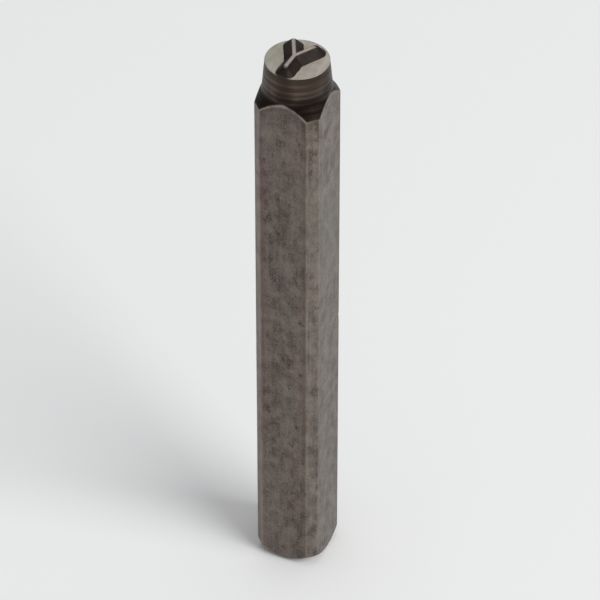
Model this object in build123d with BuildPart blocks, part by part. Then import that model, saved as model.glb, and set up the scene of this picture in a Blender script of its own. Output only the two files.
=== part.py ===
from build123d import *
import math
import os

# Steel letter punch, one solid: a square bar with chamfered corners, bevelled at the
# struck end, turned down at the other end to a tapered neck, and finished by a relief
# letter that stands on the neck's round face.
# Millimetres. The origin is the centre of the struck end, +Z runs along the bar to the
# letter, and -Y is the flat below the foot of the letter.

# bar
across_flats = 7.0
corner_chamfer = 0.95
edge_radius = 0.15
overall_length = 65.0

# struck end: a turned bevel around a flat disc
struck_flat_radius = 3.1
struck_bevel_angle = 45.0

# neck: a slight taper, then a conical shoulder that runs out on the flats and chamfers
face_radius = 3.2
neck_length = 3.3
neck_taper_angle = 5.5
shoulder_angle = 34.0
neck_root_radius = 1.0
turning_clearance = 0.5

# letter: a plain block Y, each stroke a narrow flat ridge between sloping flanks that
# sweep round its end, cut slightly off the centre of the face and slightly turned
letter_height = 4.45
letter_relief = 0.88
letter_centre_x = -0.07
letter_centre_y = -0.32
letter_turn = -2.5
ridge_width = 0.38
ridge_end_radius = 0.1
flank_run = 0.78
fork_height = 2.0
arm_angle = 28.5

# derived sizes of the turned outline
half_flats = across_flats / 2
bar_corner_radius = math.hypot(half_flats, half_flats - corner_chamfer)
turned_radius = bar_corner_radius + turning_clearance
bevel_height = (turned_radius - struck_flat_radius) * math.tan(math.radians(struck_bevel_angle))
face_height = overall_length - letter_relief
taper_tan = math.tan(math.radians(neck_taper_angle))
tip_radius = face_radius - letter_relief * taper_tan
neck_base_radius = face_radius + neck_length * taper_tan
neck_base_height = face_height - neck_length
shoulder_drop = (turned_radius - neck_base_radius) / math.tan(math.radians(shoulder_angle))

# derived points of the letter's right half, seen from above, from the letter's centre
half_ridge = ridge_width / 2
arm_sin = math.sin(math.radians(arm_angle))
arm_cos = math.cos(math.radians(arm_angle))
arm_half_tan = math.tan(math.radians(arm_angle / 2))
letter_foot = -letter_height / 2
fork_y = letter_foot + fork_height
arm_rise = letter_height - fork_height - half_ridge * arm_sin
arm_tip_y = fork_y + arm_rise
arm_tip_x = arm_rise * arm_sin / arm_cos
flank_angle = math.degrees(math.atan(flank_run / letter_relief))

with BuildPart() as letter_punch:
    # square bar with chamfered, slightly rounded corners, up to the face
    with BuildSketch() as bar_section:
        Rectangle(across_flats, across_flats)
        chamfer(bar_section.vertices(), corner_chamfer)
        fillet(bar_section.vertices(), edge_radius)
    extrude(amount=face_height)

    # letter, spreading from its ridge down to the face
    letter_place = Location((letter_centre_x, letter_centre_y, overall_length), (0, 0, letter_turn))
    with BuildSketch(Plane(letter_place)) as letter_ridge:
        with BuildLine():
            Polyline(
                (0, letter_foot),
                (half_ridge, letter_foot),
                (half_ridge, fork_y - half_ridge * arm_half_tan),
                (arm_tip_x + half_ridge * arm_cos, arm_tip_y - half_ridge * arm_sin),
                (arm_tip_x - half_ridge * arm_cos, arm_tip_y + half_ridge * arm_sin),
                (0, fork_y + half_ridge / arm_sin),
                close=True,
            )
        make_face()
        mirror(about=Plane.YZ)
        stroke_ends = letter_ridge.vertices().sort_by_distance((0, fork_y))[3:]
        fillet(stroke_ends, ridge_end_radius)
    extrude(amount=-letter_relief, taper=-flank_angle)

    # everything is trimmed to the turned outline: bevel, shoulder and tapered neck
    with BuildSketch(Plane.XZ) as turned_outline:
        with BuildLine():
            Polyline(
                (0, 0),
                (struck_flat_radius, 0),
                (turned_radius, bevel_height),
                (turned_radius, neck_base_height - shoulder_drop),
                (neck_base_radius, neck_base_height),
                (tip_radius, overall_length),
                (0, overall_length),
                close=True,
            )
        make_face()
        neck_root = turned_outline.vertices().sort_by_distance((neck_base_radius, neck_base_height))[0]
        fillet(neck_root, neck_root_radius)
    revolve(axis=Axis.Z, mode=Mode.INTERSECT)

os.makedirs("parts", exist_ok=True)
letter_punch.part.label = "letter_punch"
export_step(letter_punch.part, "parts/letter_punch.step")
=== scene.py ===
import math

import bpy
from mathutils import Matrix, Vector, noise


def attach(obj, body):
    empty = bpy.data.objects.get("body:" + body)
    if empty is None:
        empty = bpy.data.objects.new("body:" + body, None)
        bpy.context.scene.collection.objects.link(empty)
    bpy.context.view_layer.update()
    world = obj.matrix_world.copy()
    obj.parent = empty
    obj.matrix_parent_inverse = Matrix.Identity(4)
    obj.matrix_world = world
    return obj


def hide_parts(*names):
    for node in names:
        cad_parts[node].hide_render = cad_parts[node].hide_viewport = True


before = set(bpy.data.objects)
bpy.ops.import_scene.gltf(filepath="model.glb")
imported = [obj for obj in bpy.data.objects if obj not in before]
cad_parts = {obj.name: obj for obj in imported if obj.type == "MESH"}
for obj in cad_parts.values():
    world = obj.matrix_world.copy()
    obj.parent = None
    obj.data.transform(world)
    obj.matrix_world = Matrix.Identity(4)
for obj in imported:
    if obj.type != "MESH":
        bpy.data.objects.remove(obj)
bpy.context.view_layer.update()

MM = 0.001

# ---------------------------------------------------------------- sizes in mm, as in part.py
LENGTH = 65.0
HALF_FLATS = 3.5
CHAMFER = 0.95
STRUCK_RADIUS = 3.1
FACE_RADIUS = 3.2
RELIEF = 0.88
FACE_Z = LENGTH - RELIEF
NECK_LENGTH = 3.3
TAPER = math.radians(5.5)
SHOULDER = math.radians(34.0)
ROOT_RADIUS = 1.0
LETTER_HEIGHT = 4.45
LETTER_X, LETTER_Y = -0.07, -0.32
LETTER_TURN = math.radians(-2.5)
RIDGE_HALF = 0.19
RIDGE_END = 0.1
FLANK_RUN = 0.78
STEM_LENGTH = 2.0
ARM = math.radians(28.5)
ARM_LENGTH = (LETTER_HEIGHT - STEM_LENGTH - RIDGE_HALF * math.sin(ARM)) / math.cos(ARM)
FORK_DROP = LETTER_HEIGHT / 2 - STEM_LENGTH
FORK_X = LETTER_X + FORK_DROP * math.sin(LETTER_TURN)
FORK_Y = LETTER_Y - FORK_DROP * math.cos(LETTER_TURN)

# the neck's foot and the fillet between it and the shoulder
BASE_R = FACE_RADIUS + NECK_LENGTH * math.tan(TAPER)
BASE_Z = FACE_Z - NECK_LENGTH
ROOT_RUN = ROOT_RADIUS * math.tan((SHOULDER - TAPER) / 2)
ROOT_R = BASE_R - ROOT_RUN * math.sin(TAPER) + ROOT_RADIUS * math.cos(TAPER)
ROOT_Z = BASE_Z + ROOT_RUN * math.cos(TAPER) + ROOT_RADIUS * math.sin(TAPER)
CHAMFER_REACH = (2 * HALF_FLATS - CHAMFER) / math.sqrt(2)
# angle from the middle of a flat to its edge
CORNER = math.atan2(HALF_FLATS - CHAMFER, HALF_FLATS)

# ---------------------------------------------------------------- sizes in mm of what scene.py adds
EDGE_EASE = 0.085        # easing of the bar's long edges
RUN_OUT_EASE = 0.07      # easing where the turned parts run out into the bar
RIDGE_EASE = 0.07        # easing of the letter's ridges
FLANK_FOOT_EASE = 0.06   # easing where the flanks meet the face
BAR_INSET = 0.012        # keeps the uneven bar inside the solid
FACE_INSET = 0.055       # from the face's radius to the first ring on the face
RING_PITCH = 0.66        # distance between the turning marks
BEVEL_END = 8.0          # the turned outline is the bevel up to here
BEVEL_WEAR_END = 2.0     # the struck end's wear is looked for up to here
UPPER_FROM = 30.0        # the neck's marks and masks are looked for from here
NECK_LOW = 59.4          # fine rows from here to the face
FOOT_LIFT_REACH = 0.8    # the neck's rows follow the flank that runs off the rim over this height

# angles of the neck's painted lighter patch and painted darker patch, which stand in for light and shade on
# it
NECK_LIGHT_AT, NECK_SHADE_AT = -1.60, -0.62


def smin(a, b, k):
    """The smaller of two values, blended over k."""
    h = max(k - abs(a - b), 0.0) / k
    return min(a, b) - h * h * k * 0.25


def smax(a, b, k):
    return -smin(-a, -b, k)


def step(a, b, x):
    """0 at a, 1 at b, smooth between."""
    t = min(max((x - a) / (b - a), 0.0), 1.0)
    return t * t * (3 - 2 * t)


def grain(x, y, z):
    return noise.noise(Vector((x, y, z)))


def bell(x, width):
    """1 at 0, fading to 0 on both sides."""
    return math.exp(-(x / width) ** 2)


def turn_between(angle, centre):
    """Signed angle round the axis from a centre."""
    return math.atan2(math.sin(angle - centre), math.cos(angle - centre))


# ---------------------------------------------------------------- shape of the bar and the turned parts
def bar_radius(angle):
    """Radius of the chamfered bar at an angle, with eased edges, and how near an edge it is."""
    reaches = []
    for k in range(8):
        c = math.cos(angle - k * math.pi / 4)
        if c > 0.5:
            reaches.append((HALF_FLATS if k % 2 == 0 else CHAMFER_REACH) / c)
    reaches.sort()
    return smin(reaches[0], reaches[1], EDGE_EASE), bell(reaches[1] - reaches[0], 0.09)


def turned_radius(z):
    """Radius of the turned outline at a height."""
    if z < BEVEL_END:
        return STRUCK_RADIUS + max(z, 0.0)
    if z >= BASE_Z + ROOT_RUN * math.cos(TAPER):
        return FACE_RADIUS + (FACE_Z - z) * math.tan(TAPER)
    if z <= BASE_Z - ROOT_RUN * math.cos(SHOULDER):
        return BASE_R + (BASE_Z - z) * math.tan(SHOULDER)
    return ROOT_R - math.sqrt(ROOT_RADIUS ** 2 - (ROOT_Z - z) ** 2)


def tool_marks(angle, z):
    """(depth, rubbed crest) of the neck's turning marks, uneven rings that run right round."""
    x, y = math.cos(angle), math.sin(angle)
    drift = 0.22 * grain(x * 0.5, y * 0.5, z * 0.9)
    rings = 0.5 + 0.5 * math.sin(2 * math.pi * (z / RING_PITCH + drift))
    deep = 0.55 + 0.9 * grain(x * 0.3, y * 0.3, z * 1.3 + 11.0)
    broad = grain(x * 0.35, y * 0.35, z * 1.15 + 40.0)
    fine = grain(x * 0.8, y * 0.8, z * 6.0)
    patchy = min(max(0.55 + 1.1 * grain(x * 0.7, y * 0.7, z * 0.9 + 70.0), 0.0), 1.0)
    depth = 0.034 * max(deep, 0.1) * rings ** 3 + 0.022 * (0.5 + broad) + 0.012 * (0.5 + fine)
    return depth, step(0.45, 0.05, rings) * patchy


# ---------------------------------------------------------------- shape of the letter
# each stroke from the fork: direction, length, how far its ridge's end is worn down, over what length
STROKES = (
    (0.0, -1.0, STEM_LENGTH, 0.20, 0.45),
    (math.sin(ARM), math.cos(ARM), ARM_LENGTH, 0.18, 0.55),
    (-math.sin(ARM), math.cos(ARM), ARM_LENGTH, 0.03, 0.40),
)


def letter(x, y):
    """(height above the face, distance outside the ridge, nearness to a worn stroke end) at a place."""
    dx, dy = x - FORK_X, y - FORK_Y
    c, s = math.cos(LETTER_TURN), math.sin(LETTER_TURN)
    lx, ly = c * dx + s * dy, c * dy - s * dx
    out, droop, tip = 9.0, 0.0, 0.0
    for ux, uy, length, sunk, reach in STROKES:
        along = lx * ux + ly * uy
        if along < -0.02:
            continue
        side = abs(lx * uy - ly * ux) - (RIDGE_HALF - RIDGE_END)
        end = along - (length - RIDGE_END)
        away = math.hypot(max(side, 0.0), max(end, 0.0)) + min(max(side, end), 0.0) - RIDGE_END
        if away < out:
            out = away
            droop = sunk * step(length - reach, length, along) ** 2
            tip = step(length - 0.75 * reach, length - 0.15 * reach, along) * min(sunk / 0.16, 1.0)
    slope = RELIEF - RELIEF / FLANK_RUN * out
    return smax(smin(RELIEF - droop, slope, RIDGE_EASE), 0.0, FLANK_FOOT_EASE), out, tip


def letter_masks(out, ragged=0.0):
    """(flank, ridge) by the distance outside the ridge."""
    flank = step(-0.03, 0.02, out) * step(FLANK_RUN + 0.06 + ragged, FLANK_RUN - 0.01 + ragged, out)
    return flank, step(0.0, -0.04, out)


# ---------------------------------------------------------------- columns and rows of the mesh
# each quarter has a flat, an edge, a chamfer and an edge: start, sweep and number of columns
NEAR_EDGE = math.radians(1.7)
QUARTER = (
    (-CORNER + NEAR_EDGE, 2 * (CORNER - NEAR_EDGE), 60),
    (CORNER - NEAR_EDGE, 2 * NEAR_EDGE, 7),
    (CORNER + NEAR_EDGE, math.pi / 2 - 2 * (CORNER + NEAR_EDGE), 15),
    (math.pi / 2 - CORNER - NEAR_EDGE, 2 * NEAR_EDGE, 7),
)
angles = []
for k in range(4):
    for start, sweep, count in QUARTER:
        angles += [k * math.pi / 2 + start + sweep * i / count for i in range(count)]
AROUND = len(angles)

# small nicks along the bar's edges: angle of the edge, height, depth, length
NICKS = (
    (-math.pi / 2 + CORNER, 49.6, 0.05, 0.5),
    (-math.pi / 2 + CORNER, 36.3, 0.04, 0.8),
    (-CORNER, 43.2, 0.05, 0.6),
    (-math.pi / 2 - CORNER, 24.5, 0.05, 0.7),
    (CORNER, 30.8, 0.04, 0.6),
    (math.pi - CORNER, 40.1, 0.05, 0.7),
    (math.pi / 2 + CORNER, 15.6, 0.05, 0.6),
)

bar_at = [bar_radius(a) for a in angles]
rim_lift = [letter(FACE_RADIUS * math.cos(a), FACE_RADIUS * math.sin(a))[0] for a in angles]

heights = [0.03, 0.08, 0.14, 0.22, 0.3, 0.38, 0.46, 0.55, 0.65, 0.76, 0.88, 1.0, 1.12, 1.26, 1.5]
heights += [3.0 + 2.7 * i for i in range(21)]
for _, at, _, long in NICKS:
    heights += [at - 0.6 * long, at, at + 0.6 * long]
heights = sorted(z for z in heights if z < NECK_LOW - 0.2)
heights += [NECK_LOW + (FACE_Z - 0.05 - NECK_LOW) * i / 95 for i in range(96)]


def body_point(i, z):
    """(radius, 1 on the neck and 0 on the bar, wear masks with painted highlight and shade, tone masks with
    painted light and shade) of a column at a height.
    """
    a = angles[i]
    bar, edge = bar_at[i]
    turned = turned_radius(z)
    upper = z > UPPER_FROM
    x, y = math.cos(a), math.sin(a)
    crest = 0.0
    # further out than 5 mm the turned outline is well clear of the bar
    if upper and turned < 5:
        marks, crest = tool_marks(a, z)
        turned -= marks * step(FACE_Z - 0.02, FACE_Z - 0.12, z)
    uneven = 0.010 * grain(x * 0.9 + 7, y * 0.9, z * 0.11) + 0.004 * grain(x * 3.0, y * 3.0 + 5, z * 0.6)
    bar = bar - BAR_INSET + uneven
    for where, at, depth, long in NICKS:
        d = turn_between(a, where) * bar
        if abs(d) < 1.0 and abs(z - at) < 2.0:
            bar -= depth * math.exp(-((z - at) / (0.5 * long)) ** 2 - (d / 0.3) ** 2)
    r = smin(bar, turned, RUN_OUT_EASE)
    is_turned = step(-0.01, 0.03, bar - turned)
    is_bar = 1 - is_turned

    # the bar's chamfers and side flats, which the material paints lighter as painted light
    off = abs(a - round(a / (math.pi / 2)) * math.pi / 2)
    painted_light_chamfer_or_neck = step(CORNER - 0.01, CORNER + 0.02, off)
    painted_light_side_or_neck_shade = step(0.02, -0.02, abs(y) - abs(x)) * (1 - painted_light_chamfer_or_neck)

    # rubbed wear and painted highlight: the bar's long edges (wear, partly a painted highlight), the bevel
    # (wear), and a painted highlight with some wear along the arch below the neck's run-out, by distance
    # along the bar, most on the front and back flats
    slope = (turned_radius(z - 0.05) - turned_radius(z + 0.05)) / 0.1 if upper else -1.0
    arch_wear_and_highlight = bell((bar - turned) / slope + 0.09, 0.13)
    arch_wear_and_highlight *= 1 - 0.7 * painted_light_chamfer_or_neck - 0.6 * painted_light_side_or_neck_shade
    rubbed_or_highlight = max(0.5 * edge * is_bar, arch_wear_and_highlight)
    if z < BEVEL_WEAR_END:
        rubbed_or_highlight = max(rubbed_or_highlight, 0.6 * step(0.3, 0.0, z))

    # brown stain beside the bar's edges, or rubbed crests on the neck
    from_edge = HALF_FLATS - CHAMFER - r * math.sin(off)
    stain_or_crest = bell(from_edge - 0.22, 0.20) * is_bar if off < 0.7 else 0.0
    stain_or_crest += crest * is_turned

    crease_shade, under_rim_shade, under_arch_shade = 0.0, 0.0, 0.0
    if upper:
        # painted light and painted shade on the neck: a lighter patch and a darker patch round it
        neck_light_patch = bell(turn_between(a, NECK_LIGHT_AT), 0.34) * (0.2 + 0.8 * step(63.5, 62.3, z))
        neck_shade_patch = bell(turn_between(a, NECK_SHADE_AT), 0.55)
        painted_light_chamfer_or_neck += (neck_light_patch - painted_light_chamfer_or_neck) * is_turned
        painted_light_side_or_neck_shade += (neck_shade_patch - painted_light_side_or_neck_shade) * is_turned
        # painted shade in the crease at the neck's foot
        crease_shade = max(step(0.5, 0.0, bar - turned), step(62.3, 60.7, z)) * is_turned
        # painted shade on the neck just under the rim
        under_rim_shade = step(63.0, 63.9, z) * is_turned
        # painted shade on the bar just under the arches
        under_arch_shade = bell(turned - bar, 0.75) * is_bar * (1 - painted_light_side_or_neck_shade)
    wear_and_light_masks = (rubbed_or_highlight, stain_or_crest, crease_shade, 1)
    return r, is_turned, wear_and_light_masks, (painted_light_chamfer_or_neck, painted_light_side_or_neck_shade, under_rim_shade, under_arch_shade)


# ---------------------------------------------------------------- points, ring by ring
# what each point carries, by channel of its colour attribute:
#   zone: turned, face, flank, ridge
#   wear_and_light: rubbed wear and painted highlight; brown stain, or rubbed crests on the neck; painted
#       shade in the crease at the neck's foot; not used
#   tone: painted light on the chamfers, or the neck's painted lighter patch; painted light on the side
#       flats, or its painted darker patch; painted shade under the rim; painted shade under arches
# places in the map: the bar and neck as one strip, the struck end and the face as discs
STRIP_LEFT, STRIP_WIDTH = 0.02, 0.38
END_CENTRE, END_SCALE = (0.72, 0.14), 0.13 / 3.3
FACE_CENTRE, FACE_SCALE = (0.70, 0.66), 0.27 / 3.2
NO_WEAR = (0, 0, 0, 1)
NO_TONE = (0.0, 0.0, 0.0, 0.0)
STRUCK_ZONE = (1.0, 0.35, 0.0, 0.0)

verts, zone, wear_and_light, tone, uvs = [], [], [], [], []


def add(r, a, z, zones, wear_and_light_masks, spot, tones=NO_TONE):
    """One point: where it is, its masks, and its place in the map."""
    verts.append((r * math.cos(a) * MM, r * math.sin(a) * MM, z * MM))
    zone.append(zones)
    wear_and_light.append(wear_and_light_masks)
    tone.append(tones)
    uvs.append(spot)


def strip(i, v):
    """Place in the map of a column of the bar and the neck."""
    return STRIP_LEFT + STRIP_WIDTH * i / AROUND, v


def disc(centre, scale, x, y):
    """Place in the map of a point of a disc."""
    return centre[0] + scale * x, centre[1] + scale * y


# struck end: a flat disc
END_RADII = (0.6, 1.2, 1.8, 2.3, 2.7, 2.95, 3.07)
for r in END_RADII:
    for a in angles:
        spot = disc(END_CENTRE, END_SCALE, r * math.cos(a), r * math.sin(a))
        add(r, a, 0.0, STRUCK_ZONE, (0.25 * step(2.8, 3.07, r), 0, 0, 1), spot)

# bevel, bar and neck; the foot of the letter's flank lifts the neck's top where it runs over the rim
for z in heights:
    if z < NECK_LOW:
        v = 0.02 + 0.66 * z / NECK_LOW
    else:
        v = 0.68 + 0.30 * (z - NECK_LOW) / (LENGTH - NECK_LOW)
    for i, a in enumerate(angles):
        lift = rim_lift[i] * step(FACE_Z - FOOT_LIFT_REACH, FACE_Z, z)
        r, is_turned, wear_and_light_masks, tones = body_point(i, z)
        add(r - lift * math.tan(TAPER), a, z + lift, (is_turned, 0.0, 0.0, 0.0), wear_and_light_masks, strip(i, v), tones)

# rim, slightly eased: how far in, how far below, place in the map
for inset, below, v in ((0.006, 0.022, 0.98), (0.022, 0.006, 0.99)):
    for i, a in enumerate(angles):
        lift = rim_lift[i]
        foot = step(0.0, 0.08, lift)
        r = FACE_RADIUS - inset - lift * math.tan(TAPER)
        z = min(FACE_Z + lift, LENGTH) - below
        add(r, a, z, (0.5, 0.5 * (1 - foot), foot, 0.0), (0.8 - 0.75 * foot, 0, 0, 1), strip(i, v))

# face and letter
FACE_RINGS = 108
for j in range(FACE_RINGS):
    share = 1.0 - (j / FACE_RINGS)
    for i, a in enumerate(angles):
        r = (FACE_RADIUS - FACE_INSET - rim_lift[i] * math.tan(TAPER)) * share
        x, y = r * math.cos(a), r * math.sin(a)
        h, out, tip = letter(x, y)
        flank, ridge = letter_masks(out, 0.03 * grain(x * 2.3, y * 2.3, 5.0))
        face = (1.0 - max(flank, ridge)) * step(0.3, 0.5, out)
        # cutter marks along the flanks, a worn ridge and a faintly uneven face
        h -= flank * 0.006 * (0.5 + 0.5 * math.sin(out * 46.0 + 3 * grain(x * 1.2, y * 1.2, 3.0)))
        h -= ridge * 0.022 * max(0.5 + grain(x * 2.1, y * 2.1, 9.0), 0.05)
        h += 0.004 * grain(x * 1.6, y * 1.6, 21.0) * face - 0.003 * face
        # rubbed along the ridge and the rim, and dark at the worn stroke ends
        worn = max(bell(out + 0.05, 0.05) * (1 - tip), 0.7 * step(0.97, 1.0, share) * face)
        flank, ridge = max(flank, 0.85 * tip * ridge), ridge * (1 - 0.85 * tip)
        spot = disc(FACE_CENTRE, FACE_SCALE, x, y)
        add(r, a, FACE_Z + h, (0.0, face, flank, ridge), (worn, 0, 0, 1), spot)

rings = len(verts) // AROUND
bottom = len(verts)
add(0.0, 0.0, 0.0, STRUCK_ZONE, NO_WEAR, END_CENTRE)
top = len(verts)
h, out, _ = letter(0.0, 0.0)
add(0.0, 0.0, FACE_Z + h - 0.01, (0.0, 0.0) + letter_masks(out), NO_WEAR, FACE_CENTRE)

faces = []
for j in range(rings - 1):
    low, high = j * AROUND, (j + 1) * AROUND
    for i in range(AROUND):
        n = (i + 1) % AROUND
        faces.append((low + i, low + n, high + n, high + i))
last = (rings - 1) * AROUND
for i in range(AROUND):
    n = (i + 1) % AROUND
    faces.append((bottom, n, i))
    faces.append((last + i, last + n, top))

mesh = bpy.data.meshes.new("punch")
mesh.from_pydata(verts, [], faces)
mesh.validate()
mesh.update()
mesh.shade_smooth()

for name, values in (("zone", zone), ("wear_and_light", wear_and_light), ("tone", tone)):
    layer = mesh.color_attributes.new(name=name, type="FLOAT_COLOR", domain="POINT")
    layer.data.foreach_set("color", [c for v in values for c in v])

# the strip's last faces end at its right side instead of running back across it
uv_layer = mesh.uv_layers.new(name="OFBake")
first_strip = len(END_RADII) * AROUND
corners = []
for poly in mesh.polygons:
    columns = [uvs[v][0] for v in poly.vertices]
    on_strip = all(first_strip <= v < bottom for v in poly.vertices) and all(u < 0.45 for u in columns)
    for v, u in zip(poly.vertices, columns):
        if on_strip and v % AROUND == 0 and max(columns) - u > 0.2:
            u += STRIP_WIDTH
        corners += [u, uvs[v][1]]
uv_layer.data.foreach_set("uv", corners)

punch = bpy.data.objects.new("steel_letter_punch", mesh)
bpy.context.scene.collection.objects.link(punch)


# ---------------------------------------------------------------- material
def srgb(r, g, b):
    """Linear colour of a display colour."""
    def one(v):
        v = v / 255
        return v / 12.92 if v <= 0.04045 else ((v + 0.055) / 1.055) ** 2.4
    return (one(r), one(g), one(b), 1.0)


mat = bpy.data.materials.new("punch_steel")
mat.use_nodes = True
nt = mat.node_tree
nt.nodes.clear()


def node(kind, **settings):
    n = nt.nodes.new(kind)
    for key, value in settings.items():
        setattr(n, key, value)
    return n


def link(a, b):
    nt.links.new(a, b)


def value_of(socket_or_number, target):
    if isinstance(socket_or_number, (int, float)):
        target.default_value = socket_or_number
    else:
        link(socket_or_number, target)


def maths(op, a, b, clamp=False):
    n = node("ShaderNodeMath", operation=op, use_clamp=clamp)
    value_of(a, n.inputs[0])
    value_of(b, n.inputs[1])
    return n.outputs[0]


def times(a, b):
    return maths("MULTIPLY", a, b)


def plus(a, b, clamp=False):
    return maths("ADD", a, b, clamp)


def mix(fac, a, b, blend="MIX"):
    n = node("ShaderNodeMix", data_type="RGBA", blend_type=blend)
    value_of(fac, n.inputs[0])
    for value, target in ((a, n.inputs[6]), (b, n.inputs[7])):
        if isinstance(value, tuple):
            target.default_value = value
        else:
            link(value, target)
    return n.outputs[2]


def spread(value, low, high, to_low, to_high):
    """A value mapped from one range to another, clamped."""
    n = node("ShaderNodeMapRange", clamp=True)
    link(value, n.inputs[0])
    for k, v in enumerate((low, high, to_low, to_high)):
        n.inputs[k + 1].default_value = v
    return n.outputs[0]


place = node("ShaderNodeTexCoord").outputs["Object"]


def speckle(scale, size, detail=3.0, rough=0.5, offset=(0, 0, 0)):
    """Noise over the object, stretched by its scale along each axis."""
    m = node("ShaderNodeMapping")
    link(place, m.inputs[0])
    m.inputs["Scale"].default_value = scale
    m.inputs["Location"].default_value = offset
    n = node("ShaderNodeTexNoise")
    link(m.outputs[0], n.inputs["Vector"])
    n.inputs["Scale"].default_value = size
    n.inputs["Detail"].default_value = detail
    n.inputs["Roughness"].default_value = rough
    return n.outputs[0]


def masks(name):
    """The four channels of a colour attribute."""
    attribute = node("ShaderNodeAttribute", attribute_name=name)
    parts = node("ShaderNodeSeparateColor")
    link(attribute.outputs["Color"], parts.inputs[0])
    return parts.outputs[0], parts.outputs[1], parts.outputs[2], attribute.outputs["Alpha"]


turned_mask, face_mask, flank_mask, ridge_mask = masks("zone")
worn_or_highlight_mask, stain_or_crest, crease_shade_mask, _ = masks("wear_and_light")
painted_light_chamfer_or_neck, painted_light_side_or_neck_shade, rim_shade_mask, arch_shade_mask = masks("tone")

# bar: dull grey-brown steel, mottled and grainy, with dark specks, faint lengthwise streaks and brown
# stain; painted light on the chamfers and side flats, and painted shade under the arches
mottle = speckle((1, 1, 0.75), 950.0, 3.0, 0.55)
grit = speckle((1, 1, 0.8), 3000.0, 2.0, 0.6, (0.4, 0, 0.2))
sand = speckle((1, 1, 0.9), 6500.0, 2.0, 0.6, (0.1, 0.6, 0.2))
cloud = speckle((1, 1, 0.5), 210.0, 2.0, 0.5, (0.3, 0.1, 0))
tint = speckle((1, 1, 0.5), 520.0, 2.0, 0.5, (0.7, 0.3, 0.5))
streak = speckle((1, 1, 0.035), 2600.0, 3.0, 0.6)
pits = speckle((1, 1, 0.7), 2100.0, 2.0, 0.5, (0.2, 0, 0.7))
bar_colour = mix(spread(mottle, 0.36, 0.64, 0.0, 1.0), srgb(70, 58, 52), srgb(119, 107, 100))
bar_colour = mix(spread(tint, 0.42, 0.70, 0.0, 0.40), bar_colour, srgb(105, 87, 83))
bar_colour = mix(spread(cloud, 0.45, 0.70, 0.0, 0.40), bar_colour, srgb(108, 102, 93))
bar_colour = mix(spread(grit, 0.34, 0.60, 0.30, 0.0), bar_colour, srgb(72, 61, 56))
bar_colour = mix(spread(sand, 0.44, 0.68, 0.0, 0.32), bar_colour, srgb(150, 140, 133))
bar_colour = mix(spread(streak, 0.45, 0.75, 0.0, 0.40), bar_colour, srgb(134, 126, 119))
bar_colour = mix(spread(pits, 0.67, 0.74, 0.0, 0.60), bar_colour, srgb(56, 45, 40))
stain_break = speckle((1, 1, 0.12), 600.0, 3.0, 0.6, (0.5, 0.2, 0.1))
stain = times(stain_or_crest, spread(stain_break, 0.38, 0.62, 0.1, 0.6))
bar_colour = mix(stain, bar_colour, srgb(100, 77, 67))
# painted light: chamfers lighter, side flats lighter and cooler, as faces turned to the light
bar_colour = mix(painted_light_chamfer_or_neck, bar_colour, (1.14, 1.18, 1.18, 1.0), "MULTIPLY")
bar_colour = mix(painted_light_side_or_neck_shade, bar_colour, (1.05, 1.13, 1.13, 1.0), "MULTIPLY")
# painted shade under the arches, broken up by the cloud noise
arch_shade = times(arch_shade_mask, spread(cloud, 0.35, 0.65, 0.6, 1.0))
bar_colour = mix(arch_shade, bar_colour, (0.66, 0.62, 0.60, 1.0), "MULTIPLY")

# neck: darker, with light and dark rings from turning; painted shade under the rim and in the crease where
# it runs out into the bar, darkest there; a painted lighter patch and darker patch stand in for light and
# shade round it
rings_tex = speckle((0.06, 0.06, 1), 1900.0, 3.0, 0.6)
rings_fine = speckle((0.05, 0.05, 1), 7000.0, 2.0, 0.6, (0, 0.4, 0))
neck_patch = speckle((1, 1, 1), 500.0, 3.0, 0.6, (0.1, 0.1, 0.1))
neck_colour = mix(spread(rings_tex, 0.38, 0.62, 0.0, 1.0), srgb(31, 21, 14), srgb(88, 71, 60))
neck_colour = mix(spread(rings_fine, 0.45, 0.70, 0.0, 0.40), neck_colour, srgb(92, 80, 71))
neck_colour = mix(spread(neck_patch, 0.45, 0.70, 0.0, 0.5), neck_colour, srgb(54, 47, 36))
neck_colour = mix(times(stain_or_crest, 0.42), neck_colour, srgb(118, 106, 101))
# painted shade under the rim
neck_colour = mix(times(rim_shade_mask, 0.66), neck_colour, srgb(32, 23, 6))
# painted shade in the crease at the neck's foot
neck_colour = mix(times(crease_shade_mask, 0.92), neck_colour, srgb(20, 10, 6))
# painted light and painted shade round the neck: a lighter patch and a darker patch
painted_neck_light = times(painted_light_chamfer_or_neck, spread(neck_patch, 0.30, 0.60, 0.7, 1.0))
neck_colour = mix(painted_neck_light, neck_colour, (2.15, 2.1, 2.1, 1.0), "MULTIPLY")
painted_neck_shade = times(painted_light_side_or_neck_shade, spread(neck_patch, 0.40, 0.70, 1.0, 0.7))
neck_colour = mix(painted_neck_shade, neck_colour, (0.55, 0.52, 0.47, 1.0), "MULTIPLY")

# face: pale, finely ground, with painted light that leaves it a little darker and greener on its left;
# flanks: near black; ridge: rubbed bright
ground = speckle((1, 0.10, 1), 3600.0, 3.0, 0.6)
face_cloud = speckle((1, 1, 1), 700.0, 3.0, 0.55, (0.6, 0, 0))
face_colour = mix(spread(ground, 0.30, 0.70, 0.0, 1.0), srgb(199, 192, 182), srgb(227, 220, 208))
face_colour = mix(spread(face_cloud, 0.40, 0.75, 0.0, 0.5), face_colour, srgb(186, 170, 160))
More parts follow.
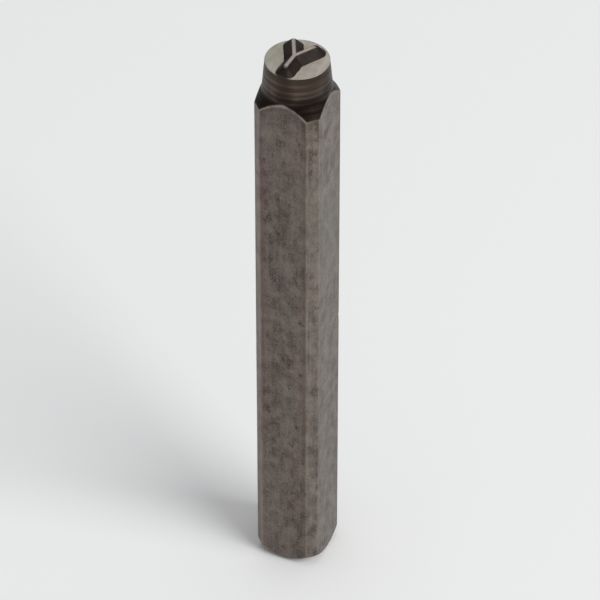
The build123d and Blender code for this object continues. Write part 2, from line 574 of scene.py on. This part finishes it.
# painted light across the face: darker and greener to the left, lighter to the right, the key lamp's side
across = node("ShaderNodeSeparateXYZ")
link(place, across.inputs[0])
rightward = spread(across.outputs[0], -0.0026, 0.0018, 0.0, 1.0)
painted_face_light = mix(rightward, (0.89, 0.93, 0.87, 1.0), (1.07, 1.04, 1.02, 1.0))
face_colour = mix(1.0, face_colour, painted_face_light, "MULTIPLY")
flank_colour = mix(spread(face_cloud, 0.35, 0.70, 0.0, 1.0), srgb(22, 13, 9), srgb(46, 35, 27))
ridge_colour = mix(spread(ground, 0.30, 0.70, 0.0, 1.0), srgb(182, 168, 158), srgb(216, 201, 190))

colour = mix(turned_mask, bar_colour, neck_colour)
colour = mix(face_mask, colour, face_colour)
colour = mix(flank_mask, colour, flank_colour)
colour = mix(ridge_mask, colour, ridge_colour)
# rubbed wear, with a painted highlight along the arches and partly along the bar's long edges
rub = speckle((1, 1, 0.4), 900.0, 3.0, 0.6, (0.9, 0.4, 0))
rubbed_or_highlight = times(worn_or_highlight_mask, spread(rub, 0.34, 0.62, 0.15, 0.75))
colour = mix(rubbed_or_highlight, colour, srgb(160, 150, 142))

rough = plus(spread(streak, 0.30, 0.70, 0.38, 0.50), times(flank_mask, 0.14))
rough = plus(rough, times(rubbed_or_highlight, -0.10))

# the dark oxide on the neck and the flanks reflects less like bare metal
metal = maths("SUBTRACT", 0.68, times(plus(turned_mask, flank_mask), 0.33), clamp=True)
metal = plus(metal, times(face_mask, 0.12), clamp=True)
# more metallic deepens the painted shade in the crease
metal = plus(metal, times(crease_shade_mask, 0.5), clamp=True)

# relief finer than the mesh
height = plus(times(streak, 0.5), times(sand, 0.8))
height = plus(height, times(spread(pits, 0.62, 0.74, 0.0, 1.0), -0.9))
height = mix(turned_mask, height, times(rings_fine, 1.2))
height = mix(face_mask, height, times(ground, 0.7))
bump = node("ShaderNodeBump")
bump.inputs["Strength"].default_value = 0.5
bump.inputs["Distance"].default_value = 0.00004
link(height, bump.inputs["Height"])

shader = node("ShaderNodeBsdfPrincipled")
shader.inputs["Specular IOR Level"].default_value = 0.25
link(colour, shader.inputs["Base Color"])
link(rough, shader.inputs["Roughness"])
link(metal, shader.inputs["Metallic"])
link(bump.outputs[0], shader.inputs["Normal"])
output = node("ShaderNodeOutputMaterial")
link(shader.outputs[0], output.inputs[0])
mesh.materials.append(mat)

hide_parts("letter_punch")
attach(punch, "root")

# ---------------------------------------------------------------- floor, light and camera
floor_mesh = bpy.data.meshes.new("floor")
floor_mesh.from_pydata([(-2, -2, 0), (2, -2, 0), (2, 2, 0), (-2, 2, 0)], [], [(0, 1, 2, 3)])
floor = bpy.data.objects.new("floor", floor_mesh)
bpy.context.scene.collection.objects.link(floor)
floor_mat = bpy.data.materials.new("pale_floor")
floor_mat.use_nodes = True
floor_shader = floor_mat.node_tree.nodes["Principled BSDF"]
floor_shader.inputs["Base Color"].default_value = (0.95, 0.95, 0.95, 1.0)
floor_shader.inputs["Roughness"].default_value = 1.0
floor_shader.inputs["Specular IOR Level"].default_value = 0.0
floor_mesh.materials.append(floor_mat)

world = bpy.data.worlds.new("studio")
world.use_nodes = True
world.node_tree.nodes["Background"].inputs[0].default_value = (0.97, 0.98, 1.0, 1.0)
world.node_tree.nodes["Background"].inputs[1].default_value = 0.40
bpy.context.scene.world = world


def lamp(name, at, towards, size, watts, colour=(1, 1, 1)):
    data = bpy.data.lights.new(name, "AREA")
    data.shape = "DISK"
    data.size = size
    data.energy = watts
    data.color = colour
    o = bpy.data.objects.new(name, data)
    bpy.context.scene.collection.objects.link(o)
    o.location = at
    o.rotation_euler = (Vector(towards) - Vector(at)).to_track_quat("-Z", "Y").to_euler()


lamp("key", (1.20, -0.24, 0.95), (0, 0, 0.03), 1.1, 17.4, (0.99, 1.0, 0.985))
lamp("overhead", (-0.10, 0.20, 1.60), (0, 0, 0.03), 0.9, 2.4)

head = Vector((0, 0, FACE_Z * MM))
azimuth, elevation, distance = math.radians(24.0), math.radians(37.4), 0.41
field_of_view = math.radians(8.1)
aim = Vector((0.0001, 0.0004, 0.0332))
level = math.cos(elevation)
eye = head + distance * Vector((math.sin(azimuth) * level, -math.cos(azimuth) * level, math.sin(elevation)))
camera_data = bpy.data.cameras.new("camera")
camera_data.sensor_width = 36.0
camera_data.lens = camera_data.sensor_width / 2 / math.tan(field_of_view / 2)
camera_data.clip_start = 0.01
camera = bpy.data.objects.new("camera", camera_data)
bpy.context.scene.collection.objects.link(camera)
camera.location = eye
camera.rotation_euler = (aim - eye).to_track_quat("-Z", "Y").to_euler()
bpy.context.scene.camera = camera
bpy.context.scene.view_settings.view_transform = "Standard"
